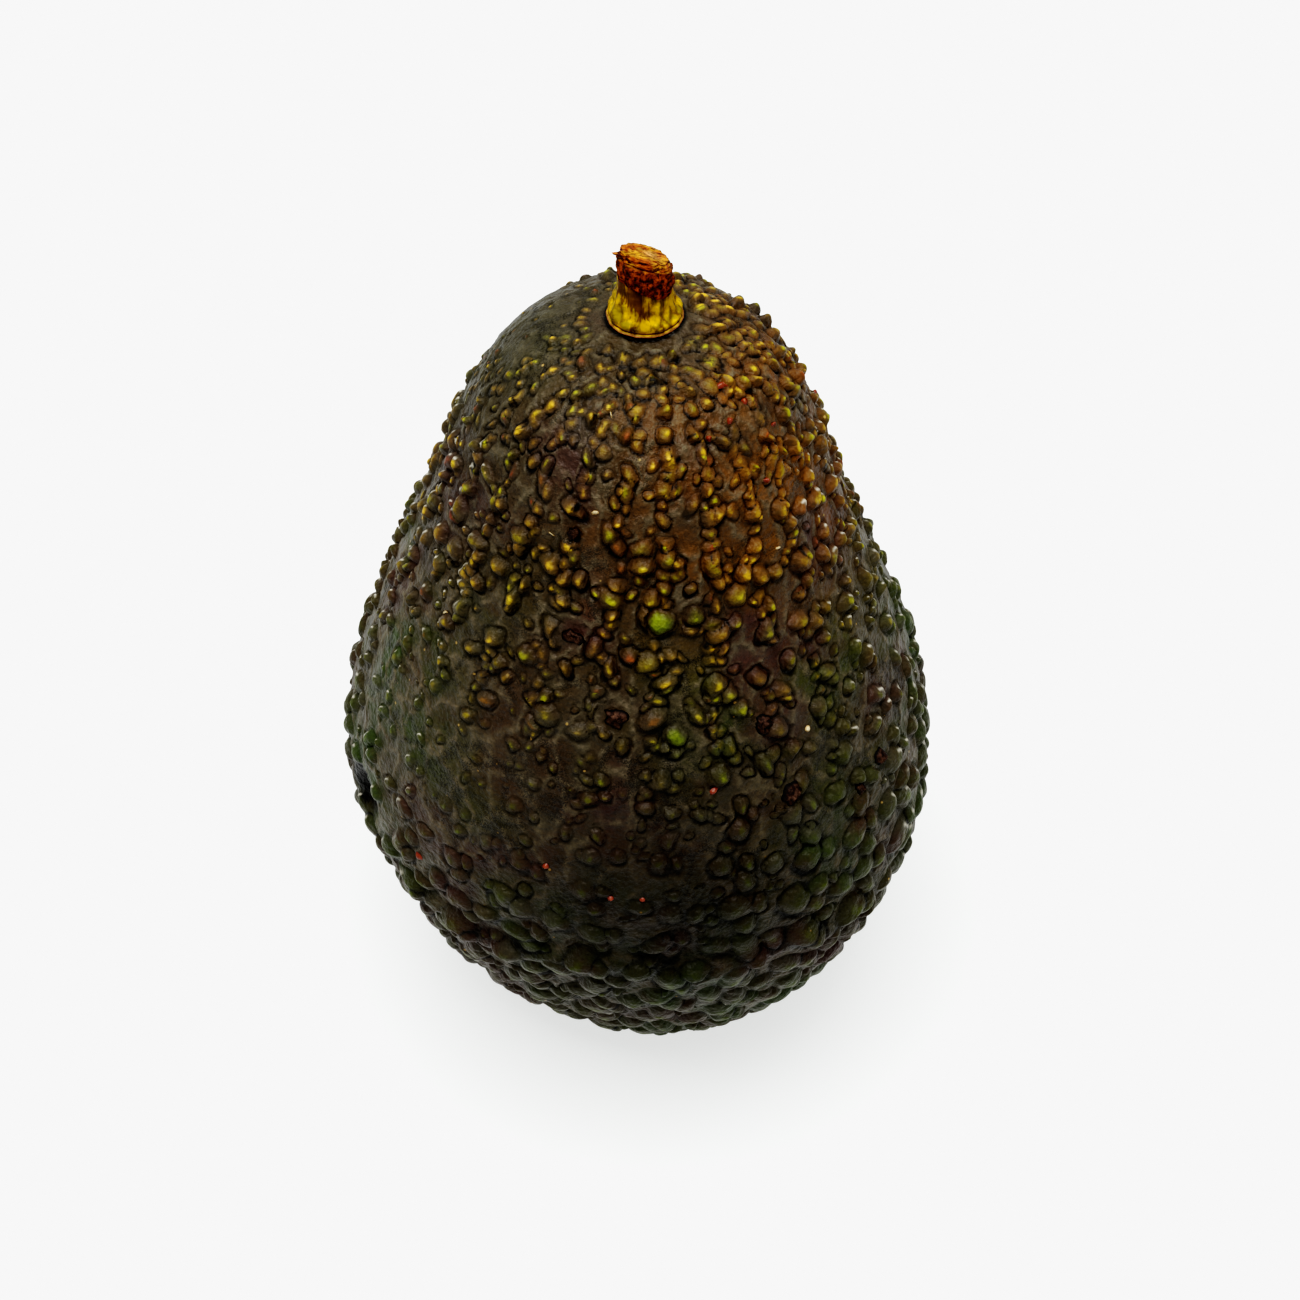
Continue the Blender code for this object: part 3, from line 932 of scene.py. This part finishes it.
def laySpots(name, spots, material, segments, rings, rough, ruggedness):
    # small round nets laid on the skin and raised to lumps, each with its own dented outline
    points, faces, reaches = [], [], []
    for number, (azimuth, height, radius, rise, stretch, turn) in enumerate(spots):
        middle = Vector(evenSpot(azimuth, height))
        centre = onSkin(middle)[0]
        steep = (middle.z - spotSet["turnHeight"]) * spotSet["upShare"]
        outward = Vector((middle.x, middle.y, steep)).normalized()
        across = outward.cross(Vector((0.0, 0.0, 1.0))).normalized()
        upward = across.cross(outward).normalized()
        first = len(points)
        for ring in range(rings + 1):
            for step in range(segments if ring else 1):
                angle = step * 2 * math.pi / segments
                reach = (ring / rings) * spotSet["skirt"]
                dent = 1.0 + rough * noise.noise(Vector((math.cos(angle), math.sin(angle), number * 3.7)) * 1.6)
                a = reach * radius * dent * math.cos(angle) * stretch**0.5
                b = reach * radius * dent * math.sin(angle) / stretch**0.5
                a, b = a * math.cos(turn) - b * math.sin(turn), a * math.sin(turn) + b * math.cos(turn)
                spot = centre + across * a + upward * b
                dome = max(0.0, 1.0 - reach**2) ** 0.7
                bumpy = ruggedness * noise.fractal(spot * spotSet["lumpScale"], 0.8, 2.0, 4) * (0.3 + dome)
                tall = dome * (1.0 + bumpy) - spotSet["skirtDrop"] * (reach > 1.0)
                points.append(onSkin(spot)[0] + outward * tall * rise)
                reaches.append(reach)
        for step in range(segments):
            after = (step + 1) % segments
            faces.append((first, first + 1 + after, first + 1 + step))
            for ring in range(rings - 1):
                low = first + 1 + ring * segments
                faces.append((low + step, low + after, low + segments + after, low + segments + step))
    mesh = bpy.data.meshes.new(name)
    mesh.from_pydata(points, [], faces)
    mesh.attributes.new("reach", "FLOAT", "POINT").data.foreach_set("value", reaches)
    mesh.materials.append(material)
    mesh.shade_smooth()
    piece = linked(name, mesh)
    print(name, len(mesh.polygons), "faces")
    return piece


spotPaint = {
    "scarDark": (0.014, 0.006, 0.004),
    "scarBrown": (0.075, 0.040, 0.026),
    "scarPale": (0.24, 0.155, 0.090),
    "ember": (0.24, 0.050, 0.012),
    "emberDark": (0.16, 0.020, 0.004),
    "pale": (0.80, 0.68, 0.42),
    "paleDark": (0.42, 0.28, 0.12),
}


def scarMaterial(p):
    material, tree, shader, place = newMaterial("corkyScar")
    reach = paintAttribute(tree, "reach")
    crust = noiseAt(tree, place, 1500.0, 4.0, 0.7)
    colour = blendColour(tree, crust.ramp(0.42, 0.58), p["scarDark"], p["scarBrown"])
    colour = blendColour(tree, crust.ramp(0.60, 0.72) * 0.7, colour, p["scarPale"])
    # painted shade round the scar's edge, in the crease colour
    colour = blendColour(tree, (reach - 0.98).bell(0.16), colour, rindPaint["crease"])
    paintShader(tree, shader, colour, crust * 0.3 + 0.5, 0.25)
    addBump(tree, shader, crust, 0.6, 0.0004)
    return material


def dotMaterial(name, dark, light, gloss):
    material, tree, shader, place = newMaterial(name)
    reach = paintAttribute(tree, "reach")
    grain = noiseAt(tree, place, 2200.0, 3.0, 0.6)
    colour = blendColour(tree, grain.ramp(0.35, 0.6) * (1.0 - reach.ramp(0.6, 1.05)), dark, light)
    paintShader(tree, shader, colour, grain * 0.2 + gloss)
    addBump(tree, shader, grain, 0.3, 0.0002)
    return material


scarFinish = scarMaterial(spotPaint)
emberFinish = dotMaterial("emberDot", spotPaint["emberDark"], spotPaint["ember"], 0.30)
paleFinish = dotMaterial("paleDot", spotPaint["paleDark"], spotPaint["pale"], 0.55)
scarry = laySpots("corkScars", scarSpots, scarFinish, 32, 14, 0.55, 0.55)
embers = laySpots("emberDots", emberSpots, emberFinish, 12, 6, 0.4, 0.2)
pales = laySpots("paleDots", paleSpots, paleFinish, 12, 6, 0.3, 0.3)


# stem: fleshy wrinkled collar, rough cork band, torn fibrous end
stemSet = {
    "sides": 120,
    "footRadius": 0.0038,
    "flareRadius": 0.00372,
    "flareFoot": 0.00058,
    "waistRadius": 0.00272,
    "corkRadius": 0.00274,
    "endRadius": 0.00250,
    "cutRadius": 0.00228,
    "collarTop": 0.0049,
    "corkTop": 0.0067,
    "height": 0.0075,
    "slopeSide": -0.34,
    "slopeFront": -0.24,
    "corkDrop": 0.0016,
    "corkDropTurn": -0.72,
    "wrinkles": 9,
    "wrinkleHeight": 0.00013,
    "gap": 0.0003,
    "splinterTurn": 196.0,
    "splinterHeight": 0.0071,
    "splinterReach": 0.0009,
    "splinterWidth": 0.11,
    "splinterThickness": 0.00024,
}
# the lip at the foot and the groove above it: height, radius, lip share
stemLip = (
    (0.00004, 0.00380, 1),
    (0.00012, 0.00390, 1),
    (0.00022, 0.00390, 1),
    (0.00030, 0.00378, 0.6),
    (0.00036, 0.00366, -1),
    (0.00044, 0.00364, -1),
    (0.00051, 0.00370, -1),
)
stemPaint = {
    "yellow": (0.80, 0.45, 0.002),
    "olive": (0.34, 0.23, 0.003),
    "streak": (0.075, 0.018, 0.002),
    "lip": (0.34, 0.15, 0.055),
    "corkDark": (0.036, 0.007, 0.003),
    "corkRust": (0.28, 0.066, 0.008),
    "endGold": (0.74, 0.33, 0.030),
    "endOrange": (0.50, 0.125, 0.008),
    "endDark": (0.060, 0.010, 0.001),
    "pith": (0.68, 0.34, 0.11),
}


def stemRings(c):
    # (height, radius, cork share, end share, cut share, lip share) from the foot to the middle of the cut
    rings = [(0.0, c["footRadius"] * share, 0, 0, 0, 0) for share in np.linspace(0.02, 0.93, 8)]
    for height, radius, lip in stemLip:
        rings.append((height, radius, 0, 0, 0, lip))
    for share in np.linspace(0.0, 1.0, 34):
        bulge = 0.00016 * math.sin(math.pi * min(1.0, share * 3.0))
        radius = c["waistRadius"] + (c["flareRadius"] - c["waistRadius"]) * (1 - share) ** 1.5 + bulge
        rings.append((c["flareFoot"] + share * (c["collarTop"] - c["flareFoot"]), radius, 0, 0, 0, 0))
    for share in np.linspace(0.03, 1.0, 20):
        radius = c["waistRadius"] + (c["corkRadius"] - c["waistRadius"]) * min(1.0, share * 4)
        radius += 0.00012 * math.sin(math.pi * share)
        rings.append((c["collarTop"] + share * (c["corkTop"] - c["collarTop"]), radius, 1, 0, 0, 0))
    for share in np.linspace(0.04, 1.0, 24):
        radius = c["endRadius"] + (c["cutRadius"] - c["endRadius"]) * share - 0.00022 * math.exp(-((share / 0.10) ** 2))
        rings.append((c["corkTop"] + share * (c["height"] - c["corkTop"]), radius, 0, 1, 0, 0))
    for share in np.linspace(0.95, 0.03, 22):
        dome = 0.00022 * math.cos(share * math.pi / 2) - 0.00012 * math.exp(-(((share - 0.55) / 0.07) ** 2))
        rings.append((c["height"] + dome, c["cutRadius"] * share, 0, 0, 1, 0))
    return rings


def roughness(place, scale, octaves=3):
    return noise.fractal(place * scale, 0.9, 2.0, octaves)


def stemPoint(c, ring, turn):
    height, radius, cork, end, cut, lip = ring
    grown = height / c["height"]
    side, front = math.cos(turn), math.sin(turn)
    spot = Vector((side * radius, front * radius, height))
    push = 0.0
    if radius > 0.0030 or (height > 0.0003 and not cut):
        skinShare = 1.0 - cork - end
        wave = math.sin(c["wrinkles"] * turn + 3.0 * roughness(spot, 260.0, 2))
        folds = c["wrinkleHeight"] * wave * math.sin(math.pi * min(1.0, grown * 1.6))
        push += skinShare * (folds + 0.00010 * roughness(spot, 900.0))
        push += cork * 0.00024 * roughness(spot, 1500.0, 4)
        strand = Vector((side * radius * 0.4, front * radius * 0.4, height * 2.0))
        push += end * (0.00022 * roughness(strand, 2200.0, 3) + 0.00012 * roughness(spot, 1100.0, 3))
        away = (turn - math.radians(c["splinterTurn"]) + math.pi) % (2 * math.pi) - math.pi
        thin = (height - c["splinterHeight"]) / c["splinterThickness"]
        push += end * c["splinterReach"] * math.exp(-((away / c["splinterWidth"]) ** 2) - thin**2)
    radius += push
    lift = grown**1.6 * (c["slopeSide"] * side + c["slopeFront"] * front) * radius
    if not cut and radius > 0.001:
        share = (0.5 + 0.5 * math.cos(turn - c["corkDropTurn"])) ** 3
        share += 0.25 * (0.5 + 0.5 * math.cos(turn - math.pi)) ** 2
        lift -= c["corkDrop"] * share * math.sin(math.pi * min(1.0, max(0.0, (height - 0.0008) / 0.0058)))
    if cut:
        slats = Vector((side * radius * 0.5, front * radius * 2.2, 0.0))
        lift += 0.00011 * roughness(slats, 2300.0, 3) + 0.00007 * roughness(spot, 1800.0, 3)
    if end:
        lift += grown**12 * 0.00022 * roughness(Vector((side, front, 0.0)) * 0.0024, 1300.0, 3)
    return Vector((radius * side, radius * front, max(0.0, height + lift)))


def makeStem(c, material):
    rings = stemRings(c)
    count = c["sides"]
    base = Vector((form["Stem Side"], form["Stem Back"], seatHeight + c["gap"]))
    points, kinds = [], []
    for ring in rings:
        for step in range(count):
            points.append(base + stemPoint(c, ring, step * 2 * math.pi / count))
            kinds.append(ring[2:])
    points.append(base)
    kinds.append((0, 0, 0, 0))
    middle = sum((points[-1 - count + step] for step in range(count)), Vector()) / count
    points.append(middle)
    kinds.append((0, 0, 1, 0))
    bottom, top = len(points) - 2, len(points) - 1
    faces = []
    for row in range(len(rings) - 1):
        for step in range(count):
            a, b = row * count + step, row * count + (step + 1) % count
            faces.append((a, b, b + count, a + count))
    for step in range(count):
        after = (step + 1) % count
        faces.append((bottom, after, step))
        last = (len(rings) - 1) * count
        faces.append((top, last + step, last + after))
    mesh = bpy.data.meshes.new("stemStub")
    mesh.from_pydata(points, [], faces)
    for column, name in enumerate(("cork", "end", "cut", "lip")):
        layer = mesh.attributes.new(name, "FLOAT", "POINT")
        layer.data.foreach_set("value", [float(kind[column]) for kind in kinds])
    mesh.materials.append(material)
    mesh.shade_smooth()
    print("stemStub", len(mesh.polygons), "faces")
    return linked("stemStub", mesh)


def stemMaterial(p):
    material, tree, shader, place = newMaterial("stemFlesh")
    cork, end, cut, lip = (paintAttribute(tree, name) for name in ("cork", "end", "cut", "lip"))
    x, y, z = parts(tree, place)
    tall = z - (seatHeight + stemSet["gap"])
    tallwise = vectorMath(tree, "MULTIPLY", place, (1.0, 1.0, 0.55))
    blotch = noiseAt(tree, tallwise, 900.0, 4.0, 0.6)
    flesh = blendColour(tree, blotch.ramp(0.42, 0.60), p["yellow"], p["olive"])
    swirl = out(tree, addNode(tree, "ShaderNodeTexNoise", Scale=900.0), 1)
    wavy = vectorMath(tree, "MULTIPLY_ADD", swirl, (0.0009,) * 3, tallwise)
    seam = out(tree, cellsAt(tree, wavy, 820.0, "DISTANCE_TO_EDGE")).bell(0.05)
    flesh = blendColour(tree, seam * blotch.ramp(0.38, 0.50) * 0.85, flesh, p["streak"])
    streaks = noiseAt(tree, vectorMath(tree, "MULTIPLY", place, (1.0, 1.0, 0.14)), 1300.0, 3.0, 0.6)
    middle = (x + 0.0003).bell(0.0012)
    reach = (streaks + middle * 0.11 + (tall / 0.0039).clamped(0.0, 1.0).squared() * 0.16).ramp(0.62, 0.78)
    flesh = blendColour(tree, reach * 0.9, flesh, p["streak"])
    cells = noiseAt(tree, place, 2100.0, 4.0, 0.65)
    bark = blendColour(tree, cells.ramp(0.42, 0.56), p["corkDark"], p["corkRust"])
    bark = blendColour(tree, cells.ramp(0.54, 0.62) * 0.85, bark, p["endOrange"])
    slanted = tall - x * stemSet["slopeSide"] - y * stemSet["slopeFront"]
    rimwise = vector(tree, x * 0.4, y * 0.4, slanted * 2.0)
    fibres = noiseAt(tree, rimwise, 2600.0, 4.0, 0.6)
    amber = noiseAt(tree, place, 800.0, 2.0)
    strands = blendColour(tree, amber.ramp(0.42, 0.58), p["endGold"], p["endOrange"])
    torn = blendColour(tree, fibres.ramp(0.42, 0.56), p["endDark"], strands)
    centre = distance(tree, vector(tree, x, y, 0.0), (form["Stem Side"] + 0.0006, form["Stem Back"] - 0.0001, 0.0))
    slats = noiseAt(tree, vectorMath(tree, "MULTIPLY", place, (0.4, 2.2, 1.0)), 2300.0, 4.0, 0.6)
    face = blendColour(tree, centre.bell(0.0008), strands, p["pith"])
    face = blendColour(tree, (1.0 - slats.ramp(0.40, 0.54)) * 0.85, face, p["endDark"])
    colour = blendColour(tree, lip.clamped(0.0, 1.0), flesh, p["lip"])
    colour = blendColour(tree, (lip * -1.0).clamped(0.0, 1.0) * 0.85, colour, p["streak"])
    colour = blendColour(tree, cork, colour, bark)
    colour = blendColour(tree, end, colour, torn)
    colour = blendColour(tree, cut, colour, face)
    paintShader(tree, shader, colour, cells * 0.3 + 0.42 + cork * 0.2, 0.3)
    addBump(tree, shader, cells + streaks * 0.6 + fibres * 0.5 - seam * 0.7, 0.6, 0.0003)
    return material


stemFlesh = stemMaterial(stemPaint)
stemStub = makeStem(stemSet, stemFlesh)


# floor
def makeFloor():
    mesh = bpy.data.meshes.new("floor")
    edit = bmesh.new()
    bmesh.ops.create_grid(edit, x_segments=1, y_segments=1, size=studio["floorHalf"])
    edit.to_mesh(mesh)
    edit.free()
    floor = linked("floor", mesh)
    material, tree, shader, place = newMaterial("paleFloor")
    warm = noiseAt(tree, place, 3.0, 2.0)
    colour = blendColour(tree, warm, studio["floorColour"], studio["floorWarm"])
    paintShader(tree, shader, colour, 0.9, 0.1)
    shader.inputs["Emission Color"].default_value = studio["floorGlowColour"]
    shader.inputs["Emission Strength"].default_value = studio["floorGlow"]
    mesh.materials.append(material)
    floor.visible_diffuse = False  # keeps its glow off the fruit's low side
    return floor


print("placing pieces")
for piece in (*skinPieces, scarry, embers, pales):
    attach(piece, "root")
    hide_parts("fruit")
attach(stemStub, "root")
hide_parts("stem")
makeFloor()
